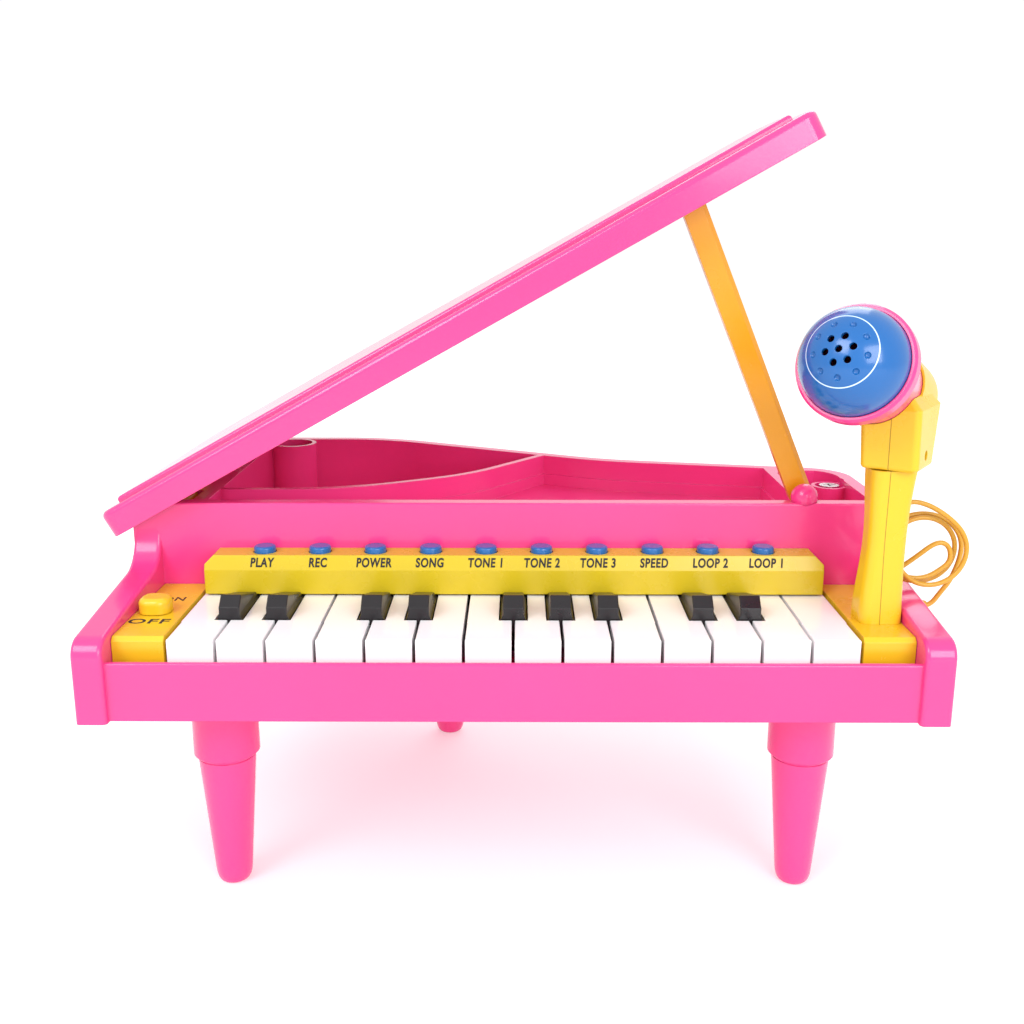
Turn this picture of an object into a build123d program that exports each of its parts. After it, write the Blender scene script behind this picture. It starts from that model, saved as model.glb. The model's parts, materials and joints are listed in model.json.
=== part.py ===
"""Toy electronic keyboard in the shape of a small grand piano, as separate moving pieces.

Millimetres, +X to the player's right, +Y away from the player, +Z up. The pieces are drawn with
y = 0 at the fronts of the white keys and z = 0 at the floor, and moved at the end so that the
origin is the bottom centre of the toy, its cord left out.
"""
import os
from math import cos, pi, radians, sin, tan

from build123d import *

# Case
CASE_HALF = 195.0
CHEEK_INNER = 181.0
CASE_RIGHT = 191.5
CHEEK_FRONT = -13.0
RAIL_FRONT = -10.0
RAIL_DEPTH = 3.2
RAIL_TOP = 129.8
RAIL_BOTTOM = 102.4
CASE_BOTTOM = 101.8
COVER_TOP = 104.8
WALL_FRONT = 81.0
WALL_BOTTOM = 139.0
RIM_TOP = 181.4
RIM_WIDTH = 8.0
BACK = 276.0
SKIN = 2.5
FLOOR_OF_TRAY = 163.5
TRAY_STEP = 170.0
FLOOR_OF_STORE = 143.0
FLOOR_OF_POCKET = 160.0
HINGE_LEDGE = 168.0
STORE_LEFT = -158.0
DIVIDER = 4.0
TRAY_RIGHT = 146.0
WELL = (-146.0, 255.0)
WELL_RADIUS = 15.0
RIM_BOSS = (176.5, 141.0)
RIM_BOSS_RADIUS = 9.8
RIM_BOSS_TOP = 178.0

# Keys
KEY_PITCH = 22.4
WHITE_KEYS = 14
KEY_GAP = 1.5
KEY_TOP = 137.5
KEY_HEIGHT = 14.0
KEY_BACK = 101.0
KEY_WALL = 1.8
KEY_PIVOT = (98.0, 130.0)
PIVOT_ROD_RADIUS = 1.5
RUNNING_CLEARANCE = 0.05
BLACK_KEY_GAPS = (1, 2, 4, 5, 7, 8, 9, 11, 12)
BLACK_WIDTH = 12.3
BLACK_TOP_WIDTH = 9.8
BLACK_FRONT = 28.0
BLACK_SIDE = ((28.0, 5.6), (33.4, 10.4), (62.8, 2.4))
BLACK_NOTCH = 0.7
KEYS_HALF = WHITE_KEYS * KEY_PITCH / 2

# Control panel, end blocks and switch
PANEL_FRONT = 64.0
PANEL_BOTTOM = 138.4
PANEL_TOP = 157.9
PANEL_BREAK = 150.8
PANEL_LEAN = 2.6
PANEL_HALF = 155.2
BUTTONS = 10
BUTTON_PITCH = 28.1
BUTTON_RADIUS = 5.5
BUTTON_Y = 74.4
BUTTON_PROUD = 3.2
BLOCK_TOP = 138.5
KNOB = (-171.5, 36.5)
KNOB_SIZE = (15.0, 14.0, 7.4)
SWITCH_TRAVEL = 5.0

# Lid, prop and hinges
HINGE_X = -190.0
HINGE_Z = 165.0
HINGE_Y = (159.0, 217.0)
LID_OPEN = 29.15
LID_OVERHANG = 7.6
LID_BOTTOM = 171.0
LID_SKIRT = 13.8
LID_PANEL_RISE = 2.9
LID_PANEL_INSET = 10.0
LID_SKIN = 2.3
PROP_PIVOT = (149.0, 87.0, 183.6)
PROP_LEAN = 67.1
PROP_LENGTH = 165.0
PROP_WIDTH = 12.3
PROP_THICK = 5.6
PROP_Y = 94.4
BALL_RADIUS = 6.8

# Legs
LEG_PLACES = ((-140.0, 30.6), (140.0, 30.6), (-42.0, 206.5))
SOCKET_RADIUS = 15.8
SOCKET_BOTTOM = 67.4
LEG_TOP_RADIUS = 13.8
LEG_LOW_RADIUS = 8.9
FOOT_RADIUS = 5.8
FOOT_HEIGHT = 6.0

# Microphone
POST = (172.0, 28.4)
POST_TOP = 210.8
POST_SECTIONS = (
    (170.9, 28.5, BLOCK_TOP, 19.8, 20),
    (170.9, 28.3, 150, 19.6, 18.5),
    (171.6, 28, 170, 18, 16),
    (172, 28, 190, 18.4, 16),
    (172.7, 28.5, POST_TOP, 21, 18),
)
HOLDER_SECTIONS = (
    (174.9, 29.3, POST_TOP + 0.4, 26, 26),
    (176.6, 33.6, 239, 27, 36),
    (170, 36, 250, 22, 26),
)
HOLDER_HOLE = (181.0, 25.2, 217.6)
MIC_BALL = (145.0, 4.0, 261.3)
MIC_YAW = 33.7
MIC_RISE = 19.0
GRILLE_RADIUS = 23.6
CUP_RADIUS = 26.0
NECK_RADIUS = 17.6
TAIL_RADIUS = 11.5
COLLAR_START = 43.0
COLLAR_END = 70.0
MIC_LENGTH = 93.0
NUB_LENGTH = 5.0

# Cord
CORD_DIAMETER = 2.4
GROMMET = (196.5, 50.0, 137.5)
COIL_CENTRE = (195.5, 46.5, 167.0)
COIL_RADII = (20.6, 18.3)
COIL_HOLE_RADII = (12.8, 13.4)
COIL_THICKNESS = 8.0
LOWER_ROUTE = ((202, 50, 137.5), (212.5, 50, 137.5), (217.2, 48, 148), (216.4, 46.8, 159))
UPPER_ROUTE = (
    (197.9, 83.3, 228.4),
    (205.5, 94.7, 223.7),
    (208.5, 98, 212),
    (203, 97, 199),
    (193, 87, 190.5),
    (184, 71, 188),
    (182, 56, 189.5),
    (190, 46.5, 191.5),
    (202, 44.5, 187.5),
    (211, 45, 179),
)

# Inside
BATTERY_BAY = (-132.0, -66.0, 118.0, 186.0)
SPEAKER = (80.0, 140.0)
SPEAKER_RADIUS = 28.5
COVER_SCREWS = ((-172, 112), (172, 112), (-172, 240), (118, 164), (-20, 228), (0, 112))

LOW = (Align.CENTER, Align.CENTER, Align.MIN)


def block(x0, x1, y0, y1, z0, z1):
    """Box between two corners."""
    return Pos((x0 + x1) / 2, (y0 + y1) / 2, (z0 + z1) / 2) * Box(x1 - x0, y1 - y0, z1 - z0)


def rod(radius, start, end):
    """Round bar from one point to another."""
    axis = Vector(*end) - Vector(*start)
    return Plane(origin=start, z_dir=axis) * Cylinder(radius, axis.length, align=LOW)


def slab(face, z0, z1):
    """A flat outline given height."""
    return extrude(Pos(0, 0, z0) * face, z1 - z0)


def rounded_face(*corners):
    """Flat face from its corners, each given as u, v and the radius that rounds it."""
    points = [corner[:2] for corner in corners]
    radii = [corner[2] for corner in corners]
    return make_face(FilletPolyline(*points, radius=radii, close=True))


def case_outline():
    """Plan of the rear body: straight front and left side, and the piano's curved back."""
    return rounded_face(
        (-CASE_HALF, WALL_FRONT, 0),
        (CASE_RIGHT, WALL_FRONT, 0),
        (CASE_RIGHT, 170, 26),
        (55, 200.2, 150),
        (-86, BACK, 110),
        (-CASE_HALF, BACK, 22),
    )


def divider_side():
    """Plan of everything on the storage bay's side of the curved divider."""
    return rounded_face(
        (STORE_LEFT, 117, 5),
        (-94, 117, 120),
        (-28, 155, 110),
        (72, 292, 0),
        (STORE_LEFT, 330, 0),
    )


OUTLINE = case_outline()
RIM_HOLE = offset(OUTLINE, -RIM_WIDTH)
STORE = divider_side() & RIM_HOLE
TRAY = (Pos((STORE_LEFT + TRAY_RIGHT) / 2, 150) * Rectangle(TRAY_RIGHT - STORE_LEFT, 200)) & RIM_HOLE
TRAY -= offset(divider_side(), DIVIDER)


def pocket_face():
    """Plan of the pocket at the prop's foot."""
    pocket = Pos(181, 120) * RectangleRounded(60, 90, 9)
    return pocket & RIM_HOLE


def cheek_profile(inset):
    """Side view of a cheek, as a face in the YZ plane, shrunk by inset."""
    face = rounded_face(
        (CHEEK_FRONT, CASE_BOTTOM, 0),
        (CHEEK_FRONT, 140.3, 9),
        (WALL_FRONT, 151.4, 19),
        (WALL_FRONT, RIM_TOP, 0),
        (WALL_FRONT + SKIN, RIM_TOP, 0),
        (WALL_FRONT + SKIN, CASE_BOTTOM, 0),
    )
    if inset:
        face = offset(face, -inset)
    return Plane.YZ * face


def cheek(side):
    """One side arm, open underneath."""
    low, high = (CHEEK_INNER, CASE_HALF) if side > 0 else (-CASE_HALF, -CHEEK_INNER)
    arm = Pos(low, 0, 0) * extrude(cheek_profile(0), high - low)
    front_edges = arm.edges().filter_by(Axis.Z).sort_by(Axis.Y)[:2]
    arm = fillet(front_edges, 2.0)
    hollow = Pos(low + SKIN, 0, 0) * extrude(cheek_profile(SKIN), high - low - 2 * SKIN)
    mouth = block(low + SKIN, high - SKIN, CHEEK_FRONT + SKIN, WALL_FRONT, CASE_BOTTOM - 1, COVER_TOP)
    return arm - hollow - mouth


def cover_face(gap):
    """Plan of the opening under the case, shrunk by gap."""
    rear = offset(OUTLINE, -SKIN - gap)
    reach = CHEEK_INNER + SKIN - gap
    front_y, back_y = RAIL_FRONT + RAIL_DEPTH + gap, WALL_FRONT + 10
    front = Pos(0, (front_y + back_y) / 2) * Rectangle(2 * reach, back_y - front_y)
    return rear + front


def front_rail():
    """Lip in front of the keys."""
    bar = block(-CHEEK_INNER - 1, CHEEK_INNER + 1, RAIL_FRONT, RAIL_FRONT + RAIL_DEPTH, RAIL_BOTTOM, RAIL_TOP)
    return fillet(bar.edges().filter_by(Axis.X).group_by(Axis.Z)[-1], 1.2)


def upper_case():
    """Pink upper shell: rail, cheeks, wall, rim, storage bay, tray and pocket."""
    pocket = pocket_face()
    rim = slab(OUTLINE, CASE_BOTTOM, RIM_TOP)
    rim = fillet(rim.edges().group_by(Axis.Z)[-1], 1.0)
    inner = offset(OUTLINE, -SKIN)
    store_outside = offset(STORE, SKIN)
    pocket_outside = offset(pocket, SKIN)
    low_hollow = slab(inner, CASE_BOTTOM - 1, FLOOR_OF_STORE - SKIN)
    mid_hollow = slab(inner, FLOOR_OF_STORE - SKIN, FLOOR_OF_POCKET - SKIN)
    mid_hollow -= slab(store_outside, FLOOR_OF_STORE - SKIN, RIM_TOP)
    high_hollow = slab(inner, FLOOR_OF_POCKET - SKIN, FLOOR_OF_TRAY - SKIN)
    high_hollow -= slab(store_outside, FLOOR_OF_STORE - SKIN, RIM_TOP)
    high_hollow -= slab(pocket_outside, FLOOR_OF_POCKET - SKIN, RIM_TOP)
    body = rim - low_hollow - mid_hollow - high_hollow
    for x, y in COVER_SCREWS:
        body += Pos(x, y, COVER_TOP + 0.2) * Cylinder(4.0, FLOOR_OF_TRAY - COVER_TOP - 1, align=LOW)
    body -= slab(STORE, FLOOR_OF_STORE, RIM_TOP + 1)
    body -= slab(TRAY, TRAY_STEP, RIM_TOP + 1)
    body -= slab(offset(TRAY, -1.2), FLOOR_OF_TRAY, TRAY_STEP + 1)
    body -= slab(pocket, FLOOR_OF_POCKET, RIM_TOP + 1)
    for x, y in COVER_SCREWS:
        body -= Pos(x, y, COVER_TOP) * Cylinder(1.5, 14, align=LOW)
    body += Pos(*WELL, FLOOR_OF_STORE - 1) * (
        Cylinder(WELL_RADIUS, RIM_TOP - FLOOR_OF_STORE + 1, align=LOW))
    body -= Pos(*WELL, FLOOR_OF_STORE) * Cylinder(WELL_RADIUS - SKIN, RIM_TOP, align=LOW)
    boss_base = FLOOR_OF_POCKET - 1
    body += Pos(*RIM_BOSS, boss_base) * Cylinder(RIM_BOSS_RADIUS, RIM_BOSS_TOP - boss_base, align=LOW)
    body -= Pos(*RIM_BOSS, RIM_BOSS_TOP - 2.2) * Cylinder(RIM_BOSS_RADIUS - 2, 9, align=LOW)
    body -= Pos(*RIM_BOSS, RIM_BOSS_TOP - 14) * Cylinder(1.9, 20, align=LOW)
    ledge_right = STORE_LEFT - SKIN
    body -= block(-CASE_HALF - 1, ledge_right, WALL_FRONT + RIM_WIDTH, BACK - RIM_WIDTH,
                  HINGE_LEDGE, RIM_TOP + 1)
    body -= block(-CASE_HALF - 1, -CASE_HALF + 12, WALL_FRONT + RIM_WIDTH, BACK + 1, HINGE_LEDGE, RIM_TOP + 1)
    for y in HINGE_Y:
        body -= block(-CASE_HALF - 1, HINGE_X + 7, y - 12, y + 12, HINGE_Z - 7, RIM_TOP)
    key_slot = block(-KEYS_HALF - 1, KEYS_HALF + 1, WALL_FRONT - 1, WALL_FRONT + SKIN + 1,
                     CASE_BOTTOM - 2, WALL_BOTTOM)
    body -= key_slot
    body += cheek(1)
    body += cheek(-1)
    body += front_rail()
    body -= slab(cover_face(0), CASE_BOTTOM - 2, COVER_TOP)
    body -= block(-CASE_HALF - 1, -CASE_HALF + 6, WALL_FRONT - 4, BACK, 178.6, RIM_TOP + 1)
    body -= Pos(*PROP_PIVOT) * Sphere(BALL_RADIUS + 0.1)
    pin_end = PROP_Y + PROP_THICK + 3
    body -= block(PROP_PIVOT[0] - 30, PROP_PIVOT[0] + 8, PROP_Y - 2, pin_end, PROP_PIVOT[2] - 8, RIM_TOP + 1)
    body -= rod(3.05, (CHEEK_INNER - 1, *GROMMET[1:]), (CASE_HALF + 1, *GROMMET[1:]))
    return body


def bottom_cover():
    """Flat cover under the case, with the battery bay, speaker grille and key supports."""
    x0, x1, y0, y1 = BATTERY_BAY
    cover = slab(cover_face(0.3), CASE_BOTTOM + 0.3, COVER_TOP)
    cover += block(x0, x1, y0, y1, COVER_TOP - 1, 126)
    cover -= block(x0 + SKIN, x1 - SKIN, y0 + SKIN, y1 - SKIN, CASE_BOTTOM - 1, 126 - SKIN)
    cover += block(-155, 155, 50, 54, COVER_TOP - 1, 112)
    for side in (-1, 1):
        low, high = sorted((side * (KEYS_HALF + 2.5), side * (KEYS_HALF + 8.5)))
        bearing = block(low, high, KEY_PIVOT[0] - 5, KEY_PIVOT[0] + 5, COVER_TOP - 1, KEY_PIVOT[1] + 5)
        bearing -= rod(PIVOT_ROD_RADIUS, (low - 1, *KEY_PIVOT), (high + 1, *KEY_PIVOT))
        cover += bearing
    for x in (-46, 26):
        for y in (121, 162):
            cover += Pos(x, y, COVER_TOP - 1) * Cylinder(3, 113 - COVER_TOP, align=LOW)
    grille_pitch = 7.0
    for row in range(-3, 4):
        for column in range(-3, 4):
            x = grille_pitch * (column + (row % 2) / 2)
            y = grille_pitch * row * sin(pi / 3)
            if x * x + y * y < 22 ** 2:
                cover -= Pos(SPEAKER[0] + x, SPEAKER[1] + y, CASE_BOTTOM) * Cylinder(2, 8, align=LOW)
    for x, y in COVER_SCREWS:
        cover -= Pos(x, y, CASE_BOTTOM) * Cylinder(1.6, 8, align=LOW)
        cover -= Pos(x, y, CASE_BOTTOM) * Cylinder(3.6, 1.6, align=LOW)
    return cover


def battery_door():
    """Door of the battery bay, with finger ribs."""
    x0, x1, y0, y1 = BATTERY_BAY
    gap = SKIN + 0.3
    door = block(x0 + gap, x1 - gap, y0 + gap, y1 - gap, CASE_BOTTOM + 0.3, COVER_TOP - 0.2)
    for rib in range(5):
        y = y1 - 12 - 3 * rib
        door -= block(x0 + 22, x1 - 22, y, y + 1.2, CASE_BOTTOM, CASE_BOTTOM + 1)
    return door


def leg_sockets():
    """Three round sockets under the cover that take the legs."""
    sockets = []
    for x, y in LEG_PLACES:
        height = CASE_BOTTOM + 0.3 - SOCKET_BOTTOM
        socket = Cylinder(SOCKET_RADIUS, height, align=LOW)
        socket = chamfer(socket.edges().group_by(Axis.Z)[0], 2.3)
        socket -= Cylinder(LEG_TOP_RADIUS - 2, height - 3, align=LOW)
        sockets.append(Pos(x, y, SOCKET_BOTTOM) * socket)
    return Compound(sockets)


def legs():
    """Three tapered legs with round feet, each with a plug inside its socket."""
    made = []
    plug_radius = LEG_TOP_RADIUS - 2.1
    for x, y in LEG_PLACES:
        shank = [(0, 0), (FOOT_RADIUS, 0)]
        side = [(LEG_LOW_RADIUS, FOOT_HEIGHT), (LEG_TOP_RADIUS, SOCKET_BOTTOM), (plug_radius, SOCKET_BOTTOM),
                (plug_radius, SOCKET_BOTTOM + 22), (0, SOCKET_BOTTOM + 22), (0, 0)]
        foot = Spline((FOOT_RADIUS, 0), (LEG_LOW_RADIUS - 0.7, 2.6), (LEG_LOW_RADIUS, FOOT_HEIGHT),
                      tangents=((1, 0.25), (0.1, 1)))
        face = make_face([Polyline(*shank), foot, Polyline(*side)])
        leg = revolve(Plane.XZ * face, Axis.Z)
        made.append(Pos(x, y, 0) * leg)
    return Compound(made)


def white_key(number):
    """White key, narrowed beside its black neighbours, hollow below, on the pivot rod."""
    left = -KEYS_HALF + number * KEY_PITCH + KEY_GAP / 2
    right = left + KEY_PITCH - KEY_GAP
    low = KEY_TOP - KEY_HEIGHT
    notch = BLACK_WIDTH / 2 + BLACK_NOTCH
    left_cut = notch - KEY_GAP / 2 if number in BLACK_KEY_GAPS else 0
    right_cut = notch - KEY_GAP / 2 if number + 1 in BLACK_KEY_GAPS else 0
    front = block(left, right, 0, BLACK_FRONT - BLACK_NOTCH, low, KEY_TOP)
    front = fillet(front.edges().group_by(Axis.Z)[-1], 0.7)
    tail = block(left + left_cut, right - right_cut, BLACK_FRONT - 4, KEY_BACK, low, KEY_TOP)
    front_room = block(left + KEY_WALL, right - KEY_WALL, KEY_WALL, BLACK_FRONT - KEY_WALL - BLACK_NOTCH,
                       low - 1, KEY_TOP - KEY_WALL)
    tail_room = block(left + left_cut + KEY_WALL, right - right_cut - KEY_WALL, BLACK_FRONT - 5,
                      KEY_PIVOT[0] - 6, low - 1, KEY_TOP - KEY_WALL)
    key = front + tail - front_room - tail_room
    middle = (left + left_cut + right - right_cut) / 2
    key += block(middle - 1.5, middle + 1.5, 50, 54, KEY_TOP - KEY_HEIGHT - 2.7, KEY_TOP - 1)
    bore = PIVOT_ROD_RADIUS + RUNNING_CLEARANCE
    key -= rod(bore, (left - 1, *KEY_PIVOT), (right + 1, *KEY_PIVOT))
    return key


def black_key(gap_number):
    """Black key: raised tapered top on a lever that runs back to the pivot rod."""
    x = -KEYS_HALF + gap_number * KEY_PITCH
    half = BLACK_WIDTH / 2
    low = KEY_TOP - KEY_HEIGHT
    lever = block(x - half, x + half, BLACK_FRONT, KEY_BACK, low, KEY_TOP)
    (front_y, front_rise), (peak_y, peak_rise), (back_y, back_rise) = BLACK_SIDE
    side = Polyline((front_y, KEY_TOP - 1), (front_y, KEY_TOP + front_rise), (peak_y, KEY_TOP + peak_rise),
                    (back_y, KEY_TOP + back_rise), (back_y, KEY_TOP - 1), (front_y, KEY_TOP - 1))
    top = Pos(x - BLACK_TOP_WIDTH / 2, 0, 0) * extrude(Plane.YZ * make_face(side), BLACK_TOP_WIDTH)
    top = fillet(top.edges().filter_by(lambda edge: edge.center().Z > KEY_TOP + 1), 0.55)
    middle_y, length = (front_y + back_y) / 2, back_y - front_y
    skirt = loft([Pos(x, middle_y, KEY_TOP - 1) * Rectangle(BLACK_WIDTH, length),
                  Pos(x, middle_y, KEY_TOP + 2.2) * Rectangle(BLACK_TOP_WIDTH, length)])
    top += skirt
    key = lever + top
    key -= block(x - half + KEY_WALL, x + half - KEY_WALL, BLACK_FRONT + KEY_WALL, KEY_PIVOT[0] - 6,
                 low - 1, KEY_TOP - KEY_WALL)
    key += block(x - 1.5, x + 1.5, 50, 54, low - 2.7, KEY_TOP - 1)
    bore = PIVOT_ROD_RADIUS + RUNNING_CLEARANCE
    key -= rod(bore, (x - half - 1, *KEY_PIVOT), (x + half + 1, *KEY_PIVOT))
    return key


def button_x(number):
    """Place of a button along the panel."""
    return (number - (BUTTONS - 1) / 2) * BUTTON_PITCH


def control_panel():
    """Hollow panel behind the keys, with a row of round button holes."""
    back = WALL_FRONT - 0.1
    outline = [(PANEL_FRONT, PANEL_BOTTOM), (PANEL_FRONT, PANEL_BREAK), (PANEL_FRONT + PANEL_LEAN, PANEL_TOP),
               (back, PANEL_TOP), (back, PANEL_BOTTOM), (PANEL_FRONT, PANEL_BOTTOM)]
    face = make_face(Polyline(*outline))
    panel = Pos(-PANEL_HALF, 0, 0) * extrude(Plane.YZ * face, 2 * PANEL_HALF)
    for side in (-1, 1):
        corner = Pos(side * PANEL_HALF, (PANEL_FRONT + back) / 2, PANEL_TOP) * Rot(0, 45, 0) * Box(6, 40, 6)
        panel -= corner
    wall = 2.2
    panel -= block(-PANEL_HALF + wall, PANEL_HALF - wall, PANEL_FRONT + wall + 0.5, back + 1,
                   PANEL_BOTTOM - 1, PANEL_TOP - wall)
    for number in range(BUTTONS):
        panel -= Pos(button_x(number), BUTTON_Y, PANEL_BOTTOM) * Cylinder(BUTTON_RADIUS + 0.35, 30, align=LOW)
    return panel


def button(number):
    """Round button with a domed cap, a stop flange and a stem."""
    cap_top = PANEL_TOP + BUTTON_PROUD
    flange_top = PANEL_TOP - 2.2 - 0.2
    cap = Cylinder(BUTTON_RADIUS, cap_top - flange_top + 1, align=LOW)
    cap = fillet(cap.edges().group_by(Axis.Z)[-1], 1.3)
    piece = Pos(0, 0, flange_top - 1) * cap
    piece += Pos(0, 0, flange_top - 1.4) * Cylinder(BUTTON_RADIUS + 0.7, 1.4, align=LOW)
    piece += Pos(0, 0, flange_top - 4.6) * Cylinder(2.0, 4, align=LOW)
    return Pos(button_x(number), BUTTON_Y, 0) * piece


def end_blocks():
    """Yellow blocks at the two ends of the keys, the left one with the switch slot."""
    made = []
    for side in (-1, 1):
        low, high = sorted((side * (KEYS_HALF + 0.6), side * (CHEEK_INNER - 0.2)))
        piece = block(low, high, 0, WALL_FRONT - 0.2, COVER_TOP + 0.2, BLOCK_TOP)
        piece = chamfer(piece.edges().group_by(Axis.Z)[-1].sort_by(Axis.Y)[0], 2.0)
        piece -= block(low + SKIN, high - SKIN, SKIN, WALL_FRONT - 0.2 - SKIN, COVER_TOP - 1, BLOCK_TOP - SKIN)
        if side < 0:
            x, y = KNOB
            piece -= block(x - 3, x + 3, y - 4, y + 4 + SWITCH_TRAVEL, BLOCK_TOP - 5, BLOCK_TOP + 1)
        made.append(piece)
    return Compound(made)


def power_switch_knob():
    """Large rounded slide knob with a stem through the slot of the left block."""
    x, y = KNOB
    width, depth, height = KNOB_SIZE
    cap = extrude(RectangleRounded(width, depth, 5.5), height)
    cap = fillet(cap.edges().group_by(Axis.Z)[-1], 3.0)
    knob = Pos(x, y, BLOCK_TOP + 0.3) * cap
    return knob + block(x - 2.5, x + 2.5, y - 3.5, y + 3.5, BLOCK_TOP - 8, BLOCK_TOP + 1)


def lid_turn():
    """Turn from the closed lid to the propped lid."""
    return Pos(HINGE_X, 0, HINGE_Z) * Rot(0, -LID_OPEN, 0) * Pos(-HINGE_X, 0, -HINGE_Z)


def lid():
    """Curved lid with a skirt and a raised panel, drawn closed and turned open."""
    outside = offset(OUTLINE, LID_OVERHANG)
    panel = offset(outside, -LID_PANEL_INSET)
    shoulder = LID_BOTTOM + LID_SKIRT
    crown = shoulder + LID_PANEL_RISE
    shell = slab(outside, LID_BOTTOM, shoulder)
    shell = fillet(shell.edges().group_by(Axis.Z)[-1], 3.2)
    raised = slab(panel, shoulder - 1, crown)
    raised = fillet(raised.edges().group_by(Axis.Z)[-1], 1.8)
    shell += raised
    shell -= slab(offset(outside, -LID_SKIN), LID_BOTTOM - 1, shoulder - LID_SKIN)
    shell -= slab(offset(panel, -LID_SKIN), shoulder - LID_SKIN - 0.5, crown - LID_SKIN)
    return lid_turn() * shell


def hinge_lid_leaves():
    """Two yellow leaves fixed under the lid, each with a middle knuckle."""
    ceiling = LID_BOTTOM + LID_SKIRT - LID_SKIN
    made = []
    for y in HINGE_Y:
        knuckle = rod(3.4, (HINGE_X, y - 5, HINGE_Z), (HINGE_X, y + 5, HINGE_Z))
        arm = block(HINGE_X - 1.6, HINGE_X + 1.6, y - 5, y + 5, HINGE_Z, ceiling)
        pad = block(HINGE_X - 6, HINGE_X + 1.6, y - 9, y + 9, ceiling - 2, ceiling)
        leaf = knuckle + arm + pad
        leaf -= rod(1.5 + RUNNING_CLEARANCE, (HINGE_X, y - 6, HINGE_Z), (HINGE_X, y + 6, HINGE_Z))
        made.append(lid_turn() * leaf)
    return Compound(made)


def hinge_case_leaves():
    """Two yellow leaves in the notches of the left wall, with outer knuckles and pins."""
    made = []
    floor = HINGE_Z - 7
    for y in HINGE_Y:
        leaf = block(HINGE_X - 3, HINGE_X + 6.5, y - 11.5, y + 11.5, floor, floor + 2)
        for low, high in ((y - 11.5, y - 5.4), (y + 5.4, y + 11.5)):
            leaf += rod(3.4, (HINGE_X, low, HINGE_Z), (HINGE_X, high, HINGE_Z))
            leaf += block(HINGE_X - 3, HINGE_X + 3, low, high, floor, HINGE_Z)
        leaf += rod(1.5, (HINGE_X, y - 11, HINGE_Z), (HINGE_X, y + 11, HINGE_Z))
        made.append(leaf)
    return Compound(made)


def lid_prop():
    """Prop stick with a ridge on its right side and a rounded eye, leaning left."""
    half = PROP_WIDTH / 2
    x, _, z = PROP_PIVOT
    stick = block(-half, half, 0, PROP_THICK, 0, PROP_LENGTH)
    long_edges = stick.edges().filter_by(Axis.Z)
    stick = chamfer(long_edges.group_by(Axis.Y)[0].sort_by(Axis.X)[-1], 2.4)
    stick += rod(half, (0, 0, 0), (0, PROP_THICK, 0))
    tip = stick.edges().filter_by(Axis.Y).group_by(Axis.Z)[-1]
    stick = fillet(tip, 3.0)
    bore = 2.5 + RUNNING_CLEARANCE
    stick -= rod(bore, (0, -1, 0), (0, PROP_THICK + 1, 0))
    return Pos(x, PROP_Y, z) * Rot(0, PROP_LEAN - 90, 0) * stick


def prop_pivot():
    """Pink ball on the rim, with the pin that the prop turns on."""
    x, y, z = PROP_PIVOT
    end = PROP_Y + PROP_THICK
    pivot = Pos(x, y, z) * Sphere(BALL_RADIUS)
    pivot += rod(2.5, (x, y, z), (x, end + 1, z))
    return pivot + rod(4.0, (x, end + 0.3, z), (x, end + 1.8, z))


def mic_frame():
    """Plane at the centre of the grille, its normal out of the front of the microphone."""
    yaw, rise = radians(MIC_YAW), radians(MIC_RISE)
    front = (-sin(yaw) * cos(rise), -cos(yaw) * cos(rise), sin(rise))
    return Plane(origin=MIC_BALL, x_dir=(cos(yaw), -sin(yaw), 0), z_dir=front)


def mic_post():
    """Hollow post on the right end block, waisted, with the bearing of the swivel."""
    sections = []
    for x, y, z, width, depth in POST_SECTIONS:
        sections.append(Pos(x, y, z) * RectangleRounded(width, depth, 5))
    post = loft(sections)
    x, y = POST
    post -= Pos(x - 0.5, y, BLOCK_TOP - 1) * Cylinder(5.5, POST_TOP - BLOCK_TOP - 24, align=LOW)
    post -= Pos(x, y, POST_TOP - 16) * Cylinder(5 + RUNNING_CLEARANCE, 20, align=LOW)
    hole = (x + 6.5, y - 3, BLOCK_TOP + 12)
    return post - rod(2.6, hole, (hole[0] + 8, hole[1], hole[2]))


def mic_holder():
    """Yellow block that turns on the post and carries the collar of the microphone."""
    turn = Rot(0, 0, -MIC_YAW)
    sections = []
    for x, y, z, width, depth in HOLDER_SECTIONS:
        sections.append(Pos(x, y, z) * turn * RectangleRounded(width, depth, 3))
    body = loft(sections, ruled=True)
    body = fillet(body.edges().group_by(Axis.Z)[0], 2.0)
    collar = mic_frame() * Pos(0, 0, -COLLAR_END) * Cylinder(NECK_RADIUS + 2.2, COLLAR_END - COLLAR_START, align=LOW)
    holder = body + collar
    holder += Pos(*POST, POST_TOP - 15) * Cylinder(5, 18, align=LOW)
    x, y, z = HOLDER_HOLE
    yaw = radians(MIC_YAW)
    holder -= rod(2.3, (x, y, z), (x + 12 * cos(yaw), y - 12 * sin(yaw), z))
    return holder - mic_cone(0.15)


def mic_cone(extra):
    """Tapered barrel of the microphone, grown by extra."""
    profile = [(0, -6), (23.6 + extra, -6), (NECK_RADIUS + 1 + extra, -COLLAR_START),
               (TAIL_RADIUS + 2 + extra, -COLLAR_END - 12), (TAIL_RADIUS + extra, 2 - MIC_LENGTH),
               (TAIL_RADIUS - 2 + extra, -MIC_LENGTH), (0, -MIC_LENGTH), (0, -6)]
    return mic_frame() * revolve(Plane.XZ * make_face(Polyline(*profile)), Axis.Z)


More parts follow.
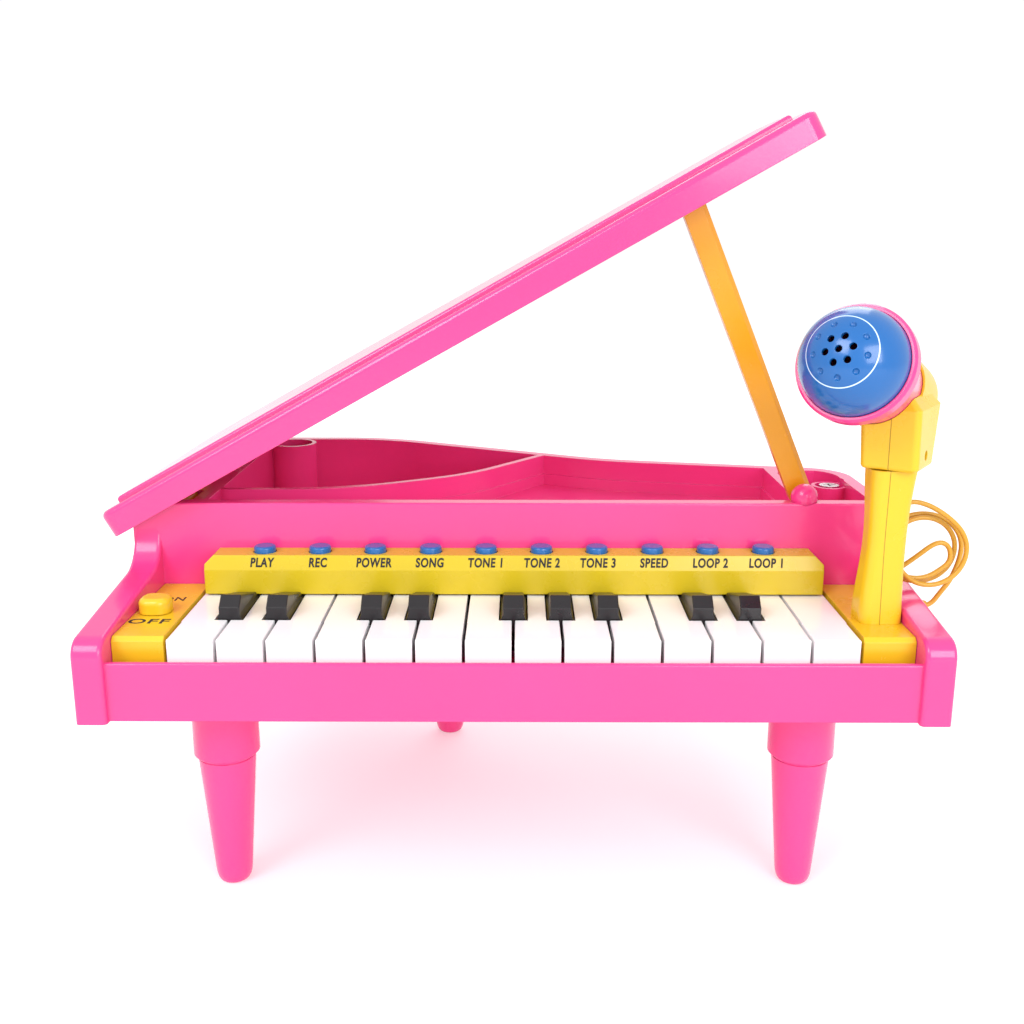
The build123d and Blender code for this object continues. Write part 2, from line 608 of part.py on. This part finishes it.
def mic_body():
    """Pink cup and tapered barrel."""
    ring = [(18, -9), (24.4, -9), (CUP_RADIUS, -6.5), (CUP_RADIUS, -1), (CUP_RADIUS - 1, 0.4),
            (GRILLE_RADIUS + 0.3, 0.4), (18, -9)]
    cup = mic_frame() * revolve(Plane.XZ * make_face(Polyline(*ring)), Axis.Z)
    body = mic_cone(0) + cup
    room = [(0, -5), (21.5, -5), (NECK_RADIUS - 1, -COLLAR_START), (TAIL_RADIUS, -COLLAR_END - 12),
            (TAIL_RADIUS - 2.5, 6 - MIC_LENGTH), (0, 6 - MIC_LENGTH), (0, -5)]
    body -= mic_frame() * revolve(Plane.XZ * make_face(Polyline(*room)), Axis.Z)
    body -= mic_frame() * Sphere(GRILLE_RADIUS + 0.1)
    nub = mic_frame() * Pos(0, 0, -MIC_LENGTH - NUB_LENGTH) * Cone(1.9, 3.4, NUB_LENGTH + 1, align=LOW)
    return body + nub


def mic_grille():
    """Blue ball-shaped grille with sound holes."""
    ball = Sphere(GRILLE_RADIUS) - Sphere(GRILLE_RADIUS - 2)
    ball -= Pos(0, 0, -6) * Cylinder(40, 40, align=(Align.CENTER, Align.CENTER, Align.MAX))
    places = [(0, 0)]
    places += [(5.8, radians(15 + 60 * turn)) for turn in range(6)]
    for reach, angle in places:
        ball -= Pos(reach * cos(angle), reach * sin(angle), 10) * Cylinder(1.55, 30, align=LOW)
    lean = 0.51
    for turn in range(9):
        angle = radians(33 + 40 * turn)
        reach = GRILLE_RADIUS + 0.4
        ball -= Pos(reach * sin(lean) * cos(angle), reach * sin(lean) * sin(angle), reach * cos(lean)) * Sphere(1.5)
    return mic_frame() * ball


def cord_grommet():
    """Flanged grommet in the right cheek, with a tapered nose."""
    x, y, z = GROMMET
    grommet = rod(3.0, (CASE_HALF - 4, y, z), (x, y, z)) + rod(4.6, (CASE_HALF, y, z), (x, y, z))
    nose = Plane(origin=GROMMET, z_dir=(1, 0, 0)) * Cone(3.8, 2.4, LOWER_ROUTE[0][0] - x, align=LOW)
    return grommet + nose


def cord_tube(name, route):
    """Round cord along straight runs joined by tangent arcs, as large as the runs allow."""
    points = [Vector(*point) for point in route]
    arcs = []
    for before, here, after in zip(points, points[1:], points[2:]):
        turn = (here - before).get_angle(after - here)
        shorter = min((here - before).length, (after - here).length)
        arcs.append(0.45 * shorter / tan(radians(turn) / 2))
    print(name, "arc radii:", [round(radius, 1) for radius in arcs])
    path = FilletPolyline(*points, radius=arcs)
    section = Plane(origin=path @ 0, z_dir=path % 0) * Circle(CORD_DIAMETER / 2)
    tube = sweep(section, path=path)
    expected = pi * CORD_DIAMETER ** 2 / 4 * path.length
    print(name, "length", round(path.length, 1), "volume over section times length", tube.volume / expected)
    return tube


def cord_coil():
    """Outer shape of the loose coil: an upright oval ring resting on the right cheek."""
    ring = Ellipse(*COIL_RADII) - Pos(-1, 0.8) * Ellipse(*COIL_HOLE_RADII)
    plane = Plane(origin=COIL_CENTRE, x_dir=(1, 0, 0), z_dir=(0, -1, 0))
    return extrude(plane * ring, COIL_THICKNESS / 2, both=True)


def key_pivot_rod():
    """Steel rod that all the keys turn on."""
    reach = KEYS_HALF + 8.5
    return rod(PIVOT_ROD_RADIUS, (-reach, *KEY_PIVOT), (reach, *KEY_PIVOT))


def key_contact_strip():
    """Rubber contact strip under the key plungers, with a dome for each key."""
    strip = block(-155, 155, 46, 58, 112, 115)
    for number in range(WHITE_KEYS):
        x = -KEYS_HALF + (number + 0.5) * KEY_PITCH
        strip += Pos(x, 52, 115) * Cone(4, 2.5, 3, align=LOW)
    return strip


def circuit_board():
    """Main board on its standoffs, and the button board inside the panel."""
    board = block(-50, 30, 117, 167, 112, 113.6)
    board += block(-30, -8, 128, 140, 113, 116)
    board += block(2, 14, 122, 134, 113, 117)
    for x in (-40, 20):
        board += Pos(x, 150, 113) * Cylinder(4, 9, align=LOW)
    buttons = block(4 - PANEL_HALF, PANEL_HALF - 4, PANEL_FRONT + 3.2, WALL_FRONT - 0.4, 146, 147.6)
    return Compound([board, buttons])


def speaker():
    """Loudspeaker facing down on the cover."""
    unit = Cylinder(SPEAKER_RADIUS, 3, align=LOW)
    unit += Pos(0, 0, 3) * Cone(SPEAKER_RADIUS - 2, 17, 9, align=LOW)
    unit += Pos(0, 0, 12) * Cylinder(16, 7, align=LOW)
    return Pos(*SPEAKER, COVER_TOP + 0.2) * unit


def batteries():
    """Four round cells side by side in the bay."""
    x0, x1, y0, _ = BATTERY_BAY
    pitch = 15.6
    cells = []
    for number in range(4):
        y = y0 + SKIN + 8.1 + pitch * number
        z = COVER_TOP + 7.6
        cell = rod(7.1, (x0 + 7, y, z), (x1 - 10, y, z)) + rod(2.7, (x1 - 11, y, z), (x1 - 8.6, y, z))
        cells.append(cell)
    return Compound(cells)


def screws():
    """Screw on the rim boss, one in the post and those of the cover."""
    x, y = RIM_BOSS
    seat = RIM_BOSS_TOP - 2.2
    rim_screw = Pos(x, y, seat - 10) * Cylinder(1.8, 11, align=LOW)
    rim_screw += Pos(x, y, seat) * Cylinder(5.5, 2.4, align=LOW)
    rim_screw -= Pos(x, y, seat + 1.2) * (Box(6.4, 1.3, 4, align=LOW) + Box(1.3, 6.4, 4, align=LOW))
    made = [rim_screw]
    for x, y in COVER_SCREWS:
        low = CASE_BOTTOM + 0.5
        made.append(Pos(x, y, low) * (Cylinder(3.3, 1.1, align=LOW) + Cylinder(1.4, 12, align=LOW)))
    return Compound(made)


def make_parts():
    """Every piece by the name of its node."""
    parts = {
        "upper_case": upper_case(),
        "bottom_cover": bottom_cover(),
        "battery_door": battery_door(),
        "leg_sockets": leg_sockets(),
        "legs": legs(),
        "lid": lid(),
        "hinge_lid_leaves": hinge_lid_leaves(),
        "hinge_case_leaves": hinge_case_leaves(),
        "lid_prop": lid_prop(),
        "prop_pivot": prop_pivot(),
        "control_panel": control_panel(),
        "end_blocks": end_blocks(),
        "power_switch_knob": power_switch_knob(),
        "key_pivot_rod": key_pivot_rod(),
        "key_contact_strip": key_contact_strip(),
        "circuit_board": circuit_board(),
        "speaker": speaker(),
        "batteries": batteries(),
        "mic_post": mic_post(),
        "mic_holder": mic_holder(),
        "mic_body": mic_body(),
        "mic_grille": mic_grille(),
        "cord_grommet": cord_grommet(),
        "cord_lead_lower": cord_tube("cord_lead_lower", LOWER_ROUTE),
        "cord_coil": cord_coil(),
        "cord_lead_upper": cord_tube("cord_lead_upper", UPPER_ROUTE),
        "screws": screws(),
    }
    for number in range(WHITE_KEYS):
        parts[f"white_key_{number + 1:02d}"] = white_key(number)
    for number, gap in enumerate(BLACK_KEY_GAPS):
        parts[f"black_key_{number + 1:02d}"] = black_key(gap)
    for number in range(BUTTONS):
        parts[f"button_{number + 1:02d}"] = button(number)
    return parts


def origin_move(parts):
    """Move that puts the bottom centre of the toy, without its cord, at the origin."""
    boxes = [piece.bounding_box() for name, piece in parts.items() if not name.startswith("cord_")]
    x = (min(box.min.X for box in boxes) + max(box.max.X for box in boxes)) / 2
    y = (min(box.min.Y for box in boxes) + max(box.max.Y for box in boxes)) / 2
    z = min(box.min.Z for box in boxes)
    return Vector(-x, -y, -z)


def main():
    """Write one STEP file for each piece."""
    parts = make_parts()
    move = origin_move(parts)
    print("move to the row's origin:", move)
    os.makedirs("parts", exist_ok=True)
    for name, piece in parts.items():
        export_step(Pos(move) * piece, f"parts/{name}.step")


if __name__ == "__main__":
    main()
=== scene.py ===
"""Toy electronic keyboard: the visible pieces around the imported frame."""
import json
import math

import bpy
from mathutils import Matrix, Vector


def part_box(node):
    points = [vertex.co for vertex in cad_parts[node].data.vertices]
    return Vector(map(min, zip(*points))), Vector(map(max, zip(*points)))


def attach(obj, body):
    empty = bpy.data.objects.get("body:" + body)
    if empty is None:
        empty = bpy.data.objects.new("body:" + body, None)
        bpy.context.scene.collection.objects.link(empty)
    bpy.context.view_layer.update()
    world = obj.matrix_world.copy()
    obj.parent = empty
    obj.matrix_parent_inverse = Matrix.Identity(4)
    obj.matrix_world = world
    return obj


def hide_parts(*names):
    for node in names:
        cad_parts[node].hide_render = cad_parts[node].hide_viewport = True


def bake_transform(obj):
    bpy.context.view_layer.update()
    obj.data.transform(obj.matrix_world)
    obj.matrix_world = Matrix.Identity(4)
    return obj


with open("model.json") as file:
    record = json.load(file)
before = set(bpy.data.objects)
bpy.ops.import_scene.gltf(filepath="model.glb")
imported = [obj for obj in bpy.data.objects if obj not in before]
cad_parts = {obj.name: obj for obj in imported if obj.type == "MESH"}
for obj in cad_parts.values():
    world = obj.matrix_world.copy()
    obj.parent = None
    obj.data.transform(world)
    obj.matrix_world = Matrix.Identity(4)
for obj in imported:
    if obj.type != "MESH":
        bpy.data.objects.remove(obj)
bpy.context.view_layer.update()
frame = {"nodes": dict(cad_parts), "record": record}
scene = bpy.context.scene
nodes = frame["nodes"]
record = frame["record"]
MM = 0.001
# From the drawing's origin to the frame's, in millimetres.
SHIFT = Vector((3.48243, -131.566, 0.0))
EDGE_RADIUS = 0.5
SEAM_WIDTH = 0.28
POST_SEAM_X = 169.6
HOLDER_SEAM = (174.9, 29.3, 0)
MIC_BALL = (145.0, 4.0, 261.3)
MIC_YAW = math.radians(33.7)
MIC_RISE = math.radians(19.0)
PRINTED_RING_RADIUS = 15.2
BUTTON_PITCH = 28.1
BAND_BOTTOM = 150.8
BAND_TOP = 157.9
BAND_LEAN = 2.6
BAND_FACE_Y = 65.16
LABEL_Z = 154.3
LABEL_SIZE = 6.4
BLOCK_TOP = 138.53
FLOOR_HALF = 6.0


def place(x, y, z):
    """Row-frame point in metres from the drawing's millimetres."""
    return (Vector((x, y, z)) + SHIFT) * MM


# Camera ---------------------------------------------------------------------------------------
camera_data = bpy.data.cameras.new("camera")
camera_data.lens = 39.62
camera_data.sensor_width = 36
camera_data.clip_start = 0.05
camera = bpy.data.objects.new("camera", camera_data)
camera.location = place(2.0, -477.3, 313.0)
camera.rotation_euler = (math.radians(90 - 13.7), 0, math.radians(0.3))
scene.collection.objects.link(camera)
scene.camera = camera

# Cord -----------------------------------------------------------------------------------------
CORD_DIAMETER = 2.4
# Out of the grommet and up to the coil.
LEAD = ((202, 50.4, 137.5), (205, 50.8, 138), (208.8, 50.9, 143.8), (213.4, 50.9, 150.2))
# Ovals as left, right, bottom, top and depth; a turn slides from one oval to the next.
OUTER = (176.4, 217.6, 149, 184.4, 50.9)
SECOND = (178.6, 213, 150.6, 183.6, 47.9)
SECOND_END = (180.6, 212, 151.6, 182, 47)
INNER = (178.8, 209.8, 153.2, 182, 44.7)
INNER_END = (178.8, 209.8, 153.2, 182, 43.2)
FRONT = (183, 216.3, 150.9, 184, 41.7)
FRONT_END = (183, 216, 150.4, 184, 41)
# Behind the post, across the coil on the slant and over into the inner strand.
SLANT = (
    (179.3, 46.9, 167.5), (177.4, 46.7, 160.3), (180.5, 46.7, 156.9), (185.2, 46.6, 156.5),
    (194.2, 45.6, 163.9), (201.6, 45.2, 170.4), (206.6, 45, 171.0), (209.8, 44.9, 167.2),
    (209.9, 44.8, 161.4),
)
# Up behind the post and down the outside as the highest strand.
OVER = (
    (178.7, 42.7, 174.5), (179.6, 42.1, 182.5), (182.6, 41.7, 189.4), (188.2, 41.5, 192.2),
    (195.6, 41.5, 190.4), (202.5, 41.6, 186.7), (208.6, 41.6, 182.1), (213.6, 41.7, 176.8),
)
# Up behind the post, back along the case and forward to the microphone's tail.
RISE = (
    (184.4, 42.2, 161), (183.6, 43.6, 169), (183.4, 44.1, 177), (183.4, 44.9, 185.4), (183.2, 48, 191.4),
    (182.8, 55, 192.2), (184, 65, 189.4), (187.6, 76, 188.4), (194.6, 88, 191.4), (202.6, 96.4, 198.6),
    (207.8, 98.2, 208), (207.4, 96.8, 217.5), (203.8, 92, 225), (199.6, 85.8, 228), (196.4, 81.1, 229.4),
)


def turn(start, stop, first, last):
    """Spline points about 30 degrees apart round an oval, anticlockwise from the right when positive."""
    steps = round(abs(stop - start) / 30)
    points = []
    for step in range(steps + 1):
        share = step / steps
        angle = math.radians(start + (stop - start) * share)
        left, right, bottom, top, depth = (a + (b - a) * share for a, b in zip(first, last))
        points.append(((left + right) / 2 + 0.51 * (right - left) * math.cos(angle), depth,
                       (bottom + top) / 2 + 0.51 * (top - bottom) * math.sin(angle)))
    return points


def cord_points():
    """The whole cord, from the grommet to the microphone's tail."""
    return [*LEAD, *turn(-15, 345, OUTER, SECOND), *turn(375, 525, SECOND, SECOND_END), *SLANT,
            *turn(-42, -185, INNER, INNER_END), *OVER, *turn(8, -142, FRONT, FRONT_END), *RISE]


def evaluated_mesh(obj):
    """New mesh of an object as it is drawn."""
    bpy.context.view_layer.update()
    return bpy.data.meshes.new_from_object(obj.evaluated_get(bpy.context.evaluated_depsgraph_get()))


def make_cord():
    """Tube along one smooth spline."""
    curve = bpy.data.curves.new("cord_route", "CURVE")
    curve.dimensions = "3D"
    spline = curve.splines.new("NURBS")
    points = cord_points()
    spline.points.add(len(points) - 1)
    for point, position in zip(spline.points, points):
        point.co = (*place(*position), 1)
    spline.order_u = 3
    spline.use_endpoint_u = True
    spline.resolution_u = 8
    route = bpy.data.objects.new("cord_route", curve)
    scene.collection.objects.link(route)
    path = [tuple(vertex.co) for vertex in evaluated_mesh(route).vertices]
    curve.bevel_depth = CORD_DIAMETER * MM / 2
    curve.bevel_resolution = 4
    curve.use_fill_caps = True
    piece = bpy.data.objects.new("cord", evaluated_mesh(route))
    bpy.data.objects.remove(route)
    scene.collection.objects.link(piece)
    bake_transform(piece)
    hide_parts("cord_lead_lower", "cord_coil", "cord_lead_upper")
    return piece


cord = make_cord()


# Materials ------------------------------------------------------------------------------------
def node_tree(name):
    """New material with its tree, output shader and object coordinates."""
    material = bpy.data.materials.new(name)
    material.use_nodes = True
    tree = material.node_tree
    shader = tree.nodes["Principled BSDF"]
    coordinates = tree.nodes.new("ShaderNodeTexCoord")
    return material, tree, shader, coordinates.outputs["Object"]


def noise(tree, vector, scale, detail=3.0, roughness=0.55):
    texture = tree.nodes.new("ShaderNodeTexNoise")
    texture.inputs["Scale"].default_value = scale
    texture.inputs["Detail"].default_value = detail
    texture.inputs["Roughness"].default_value = roughness
    tree.links.new(vector, texture.inputs["Vector"])
    return texture.outputs["Fac"]


def ranged(tree, value, low, high, from_low=0.3, from_high=0.7):
    node = tree.nodes.new("ShaderNodeMapRange")
    node.inputs["From Min"].default_value = from_low
    node.inputs["From Max"].default_value = from_high
    node.inputs["To Min"].default_value = low
    node.inputs["To Max"].default_value = high
    tree.links.new(value, node.inputs["Value"])
    return node.outputs["Result"]


def mixed(tree, factor, first, second):
    node = tree.nodes.new("ShaderNodeMix")
    node.data_type = "RGBA"
    for socket, value in ((node.inputs[0], factor), (node.inputs[6], first), (node.inputs[7], second)):
        if isinstance(value, bpy.types.NodeSocket):
            tree.links.new(value, socket)
        else:
            socket.default_value = value if isinstance(value, float) else (*value, 1)
    return node.outputs[2]


def math_node(tree, operation, *values):
    node = tree.nodes.new("ShaderNodeMath")
    node.operation = operation
    for socket, value in zip(node.inputs, values):
        if isinstance(value, bpy.types.NodeSocket):
            tree.links.new(value, socket)
        else:
            socket.default_value = value
    return node.outputs[0]


def plane_distance(tree, vector, direction, offset):
    """Distance in metres from a plane in the object's own coordinates."""
    node = tree.nodes.new("ShaderNodeVectorMath")
    node.operation = "DOT_PRODUCT"
    node.inputs[1].default_value = direction
    tree.links.new(vector, node.inputs[0])
    return math_node(tree, "ABSOLUTE", math_node(tree, "SUBTRACT", node.outputs["Value"], offset))


def bump(tree, shader, height, strength, distance, normal=None):
    node = tree.nodes.new("ShaderNodeBump")
    node.inputs["Strength"].default_value = strength
    node.inputs["Distance"].default_value = distance
    tree.links.new(height, node.inputs["Height"])
    if normal is not None:
        tree.links.new(normal, node.inputs["Normal"])
    tree.links.new(node.outputs["Normal"], shader.inputs["Normal"])
    return node.outputs["Normal"]


def soft_edges(tree):
    """Normal that rounds sharp edges a little."""
    node = tree.nodes.new("ShaderNodeBevel")
    node.samples = 6
    node.inputs["Radius"].default_value = EDGE_RADIUS * MM
    return node.outputs["Normal"]


def moulded(name, colour, roughness=0.2, grain=0.04, waviness=0.05, seam=None, shade=0.94, coat=0.0):
    """Injection-moulded plastic: faint flow marks, fine grain and a parting seam where given.

    A seam is the plane's direction and its offset from the origin in metres.
    """
    material, tree, shader, vector = node_tree(name)
    darker = tuple(channel * shade for channel in colour)
    flow = ranged(tree, noise(tree, vector, 14.0, 4.0), 0.0, 1.0)
    tone = mixed(tree, flow, darker, colour)
    speck = ranged(tree, noise(tree, vector, 900.0, 2.0), 0.0, 0.35, 0.62, 0.8)
    tone = mixed(tree, speck, tone, darker)
    if seam:
        direction, offset = seam
        width = SEAM_WIDTH * MM
        gap = plane_distance(tree, vector, direction, offset)
        line = ranged(tree, gap, 1.0, 0.0, width * 0.4, width)
        tone = mixed(tree, line, tone, tuple(channel * 0.45 for channel in colour))
    tree.links.new(tone, shader.inputs["Base Color"])
    rough = ranged(tree, noise(tree, vector, 60.0, 4.0), roughness * 0.85, roughness * 1.2)
    tree.links.new(rough, shader.inputs["Roughness"])
    wave = bump(tree, shader, noise(tree, vector, 22.0, 2.0), waviness, 0.002, soft_edges(tree))
    fine = bump(tree, shader, noise(tree, vector, 1600.0, 2.0), grain, 0.0002, wave)
    if seam:
        bump(tree, shader, math_node(tree, "SUBTRACT", 1.0, line), 0.5, 0.0003, fine)
    shader.inputs["IOR"].default_value = 1.47
    shader.inputs["Coat Weight"].default_value = coat
    shader.inputs["Coat Roughness"].default_value = 0.08
    return material


PINK = (0.80, 0.046, 0.235)
YELLOW = (0.76, 0.475, 0.016)
ORANGE = (0.70, 0.305, 0.008)
BLUE = (0.006, 0.115, 0.38)

pink_case = moulded("pink_case", PINK, 0.2, coat=0.2)
pink_lid = moulded("pink_lid", PINK, 0.17, coat=0.3)
yellow_panel = moulded("yellow_panel", (0.60, 0.44, 0.014), 0.26)
yellow_trim = moulded("yellow_trim", YELLOW, 0.24)
post_seam = ((1.0, 0.0, 0.0), (POST_SEAM_X + SHIFT.x) * MM)
post_yellow = moulded("post_yellow", YELLOW, 0.24, seam=post_seam)
across = Vector((math.cos(MIC_YAW), -math.sin(MIC_YAW), 0.0))
holder_seam = (across, across.dot(place(*HOLDER_SEAM)))
holder_yellow = moulded("holder_yellow", YELLOW, 0.24, seam=holder_seam)
orange_prop = moulded("orange_prop", ORANGE, 0.24)
blue_plastic = moulded("blue_plastic", BLUE, 0.2, coat=0.3)
white_keys = moulded("white_keys", (0.92, 0.915, 0.93), 0.14, grain=0.01, waviness=0.03, shade=0.985,
                     coat=0.3)
black_keys = moulded("black_keys", (0.012, 0.010, 0.012), 0.3, grain=0.05, shade=0.8)
yellow_cord = moulded("yellow_cord", (0.60, 0.31, 0.026), 0.33, grain=0.08)
rubber = moulded("rubber", (0.3, 0.3, 0.31), 0.6, grain=0.2)
speaker_black = moulded("speaker_black", (0.025, 0.025, 0.027), 0.55, grain=0.3)
ink = moulded("ink", (0.008, 0.006, 0.014), 0.6, grain=0.02, shade=0.8)


def steel(name):
    """Plated steel with fine turned lines."""
    material, tree, shader, vector = node_tree(name)
    lines = noise(tree, vector, 700.0, 2.0)
    tree.links.new(mixed(tree, ranged(tree, lines, 0.0, 1.0), (0.5, 0.5, 0.5), (0.72, 0.71, 0.7)),
                   shader.inputs["Base Color"])
    tree.links.new(ranged(tree, lines, 0.2, 0.36), shader.inputs["Roughness"])
    shader.inputs["Metallic"].default_value = 1.0
    bump(tree, shader, lines, 0.08, 0.0002)
    return material


plated = steel("plated_steel")


def board_material():
    """Green circuit board with copper traces under the mask."""
    material, tree, shader, vector = node_tree("circuit_board")
    texture = tree.nodes.new("ShaderNodeTexVoronoi")
    texture.feature = "DISTANCE_TO_EDGE"
    texture.distance = "MANHATTAN"
    texture.inputs["Scale"].default_value = 160.0
    tree.links.new(vector, texture.inputs["Vector"])
    trace = ranged(tree, texture.outputs["Distance"], 1.0, 0.0, 0.03, 0.09)
    tree.links.new(mixed(tree, trace, (0.015, 0.13, 0.045), (0.05, 0.26, 0.08)), shader.inputs["Base Color"])
    shader.inputs["Roughness"].default_value = 0.3
    bump(tree, shader, trace, 0.15, 0.0002)
    return material


def wrap_material():
    """Battery wrap: two plain colours and a thin line between them, along the cell."""
    material, tree, shader, vector = node_tree("battery_wrap")
    low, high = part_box("batteries")
    split = tree.nodes.new("ShaderNodeSeparateXYZ")
    tree.links.new(vector, split.inputs[0])
    border = low.x + (high.x - low.x) * 0.72
    along = ranged(tree, split.outputs["X"], 0.0, 1.0, border - 0.0002, border + 0.0002)
    metal = ranged(tree, split.outputs["X"], 0.0, 1.0, high.x - 0.0026, high.x - 0.0024)
    tone = mixed(tree, along, (0.06, 0.065, 0.08), (0.75, 0.55, 0.12))
    tree.links.new(mixed(tree, metal, tone, (0.7, 0.7, 0.7)), shader.inputs["Base Color"])
    tree.links.new(ranged(tree, noise(tree, vector, 300.0), 0.25, 0.35), shader.inputs["Roughness"])
    tree.links.new(metal, shader.inputs["Metallic"])
    return material


SLOT_MATERIALS = {
    "pink_case": pink_case, "pink_lid": pink_lid, "yellow_trim": yellow_trim, "yellow_panel": yellow_panel,
    "orange_prop": orange_prop, "blue_plastic": blue_plastic, "white_keys": white_keys,
    "black_keys": black_keys, "yellow_cord": yellow_cord, "steel": plated, "grey_rubber": rubber,
    "green_board": board_material(), "black_speaker": speaker_black, "battery_wrap": wrap_material(),
}

node_slots = {part["node"]: part["material_slot"] for part in record["subparts"]}


def paint(obj, material):
    obj.data.materials.clear()
    obj.data.materials.append(material)


def grille_material():
    """Blue plastic with one thin white circle printed round the microphone's axis."""
    material = moulded("mic_grille_blue", BLUE, 0.2, coat=0.3)
    tree = material.node_tree
    shader = tree.nodes["Principled BSDF"]
    coordinates = tree.nodes["Texture Coordinate"]
    axis = Vector((-math.sin(MIC_YAW) * math.cos(MIC_RISE), -math.cos(MIC_YAW) * math.cos(MIC_RISE),
                   math.sin(MIC_RISE)))
    offset = tree.nodes.new("ShaderNodeVectorMath")
    offset.operation = "SUBTRACT"
    offset.inputs[1].default_value = place(*MIC_BALL)
    tree.links.new(coordinates.outputs["Object"], offset.inputs[0])
    cross = tree.nodes.new("ShaderNodeVectorMath")
    cross.operation = "CROSS_PRODUCT"
    cross.inputs[1].default_value = axis
    tree.links.new(offset.outputs[0], cross.inputs[0])
    radius = tree.nodes.new("ShaderNodeVectorMath")
    radius.operation = "LENGTH"
    tree.links.new(cross.outputs[0], radius.inputs[0])
    off_ring = math_node(tree, "SUBTRACT", radius.outputs["Value"], PRINTED_RING_RADIUS * MM)
    gap = math_node(tree, "ABSOLUTE", off_ring)
    ring = ranged(tree, gap, 1.0, 0.0, 0.00014, 0.00026)
    front = tree.nodes.new("ShaderNodeVectorMath")
    front.operation = "DOT_PRODUCT"
    front.inputs[1].default_value = axis
    tree.links.new(offset.outputs[0], front.inputs[0])
    ring = math_node(tree, "MULTIPLY", ring, math_node(tree, "GREATER_THAN", front.outputs["Value"], 0.0))
    plain = shader.inputs["Base Color"].links[0].from_socket
    tree.links.new(mixed(tree, ring, plain, (0.62, 0.78, 0.92)), shader.inputs["Base Color"])
    return material


OWN_MATERIALS = {"mic_post": post_yellow, "mic_holder": holder_yellow, "mic_grille": grille_material()}
for node_name, obj in nodes.items():
    paint(obj, OWN_MATERIALS.get(node_name, SLOT_MATERIALS[node_slots[node_name]]))
paint(cord, yellow_cord)


# Printed words --------------------------------------------------------------------------------
PANEL_WORDS = ("PLAY", "REC", "POWER", "SONG", "TONE 1", "TONE 2", "TONE 3", "SPEED", "LOOP 2", "LOOP 1")


def word(name, text, size, centre, turn, body, squeeze=0.74, shear=0.1, weight=0.03):
    """Printed word: its letters a hair proud of the surface."""
    data = bpy.data.curves.new(name, "FONT")
    data.body = text
    data.size = size * MM
    data.shear = shear
    data.align_x = "CENTER"
    data.align_y = "CENTER"
    data.offset = size * MM * weight
    data.space_character = 1.12
    data.extrude = 0.00004
    piece = bpy.data.objects.new(name, data)
    scene.collection.objects.link(piece)
    piece.matrix_world = Matrix.Translation(place(*centre)) @ turn @ Matrix.Diagonal((squeeze, 1, 1, 1))
    paint(piece, ink)
    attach(piece, body)


upper_band = Matrix.Rotation(math.atan2(BAND_TOP - BAND_BOTTOM, BAND_LEAN), 4, "X")
for number, text in enumerate(PANEL_WORDS):
    centre = ((number - 4.5) * BUTTON_PITCH, BAND_FACE_Y, LABEL_Z)
    word(f"label_{number + 1:02d}", text, LABEL_SIZE, centre, upper_band, "root")
flat = Matrix.Identity(4)
word("label_on", "ON", 8.0, (-168.6, 55.0, BLOCK_TOP), flat, "root", 0.9, 0.0, 0.012)
word("label_off", "OFF", 9.0, (-170.5, 21.5, BLOCK_TOP), flat, "root", 1.15, 0.0, 0.018)

# Floor, light and world -----------------------------------------------------------------------
floor_mesh = bpy.data.meshes.new("floor")
corners = [(FLOOR_HALF * x, FLOOR_HALF * y, 0) for x, y in ((-1, -1), (1, -1), (1, 1), (-1, 1))]
floor_mesh.from_pydata(corners, [], [(0, 1, 2, 3)])
floor = bpy.data.objects.new("floor", floor_mesh)
scene.collection.objects.link(floor)
floor_material, floor_tree, floor_shader, floor_vector = node_tree("floor")
floor_tone = mixed(floor_tree, noise(floor_tree, floor_vector, 2.0), (0.68, 0.68, 0.68), (0.70, 0.70, 0.70))
floor_tree.links.new(floor_tone, floor_shader.inputs["Base Color"])
floor_shader.inputs["Roughness"].default_value = 0.9
floor_shader.inputs["Emission Color"].default_value = (1, 1, 1, 1)
floor_shader.inputs["Emission Strength"].default_value = 0.35
floor_shader.inputs["Specular IOR Level"].default_value = 0.1
paint(floor, floor_material)


def area_light(name, location, target, size, power):
    """Square soft light, its side in metres, aimed at a point."""
    data = bpy.data.lights.new(name, "AREA")
    data.shape = "RECTANGLE"
    data.size = size
    data.size_y = size
    data.energy = power
    lamp = bpy.data.objects.new(name, data)
    lamp.location = location
    lamp.rotation_euler = (Vector(target) - Vector(location)).to_track_quat("-Z", "Y").to_euler()
    scene.collection.objects.link(lamp)


area_light("key", (-1.1, -1.3, 1.5), (0, 0, 0.12), 1.0, 20)
area_light("front", (0.9, -1.9, 1.0), (0, 0, 0.12), 1.2, 26)
area_light("back", (0.3, 1.6, 1.6), (0, 0, 0.15), 1.4, 12)

world = bpy.data.worlds.new("studio")
world.use_nodes = True
scene.world = world
background = world.node_tree.nodes["Background"]
background.inputs["Color"].default_value = (1, 1, 1, 1)
background.inputs["Strength"].default_value = 1.02
scene.view_settings.view_transform = "Standard"
scene.view_settings.look = "None"
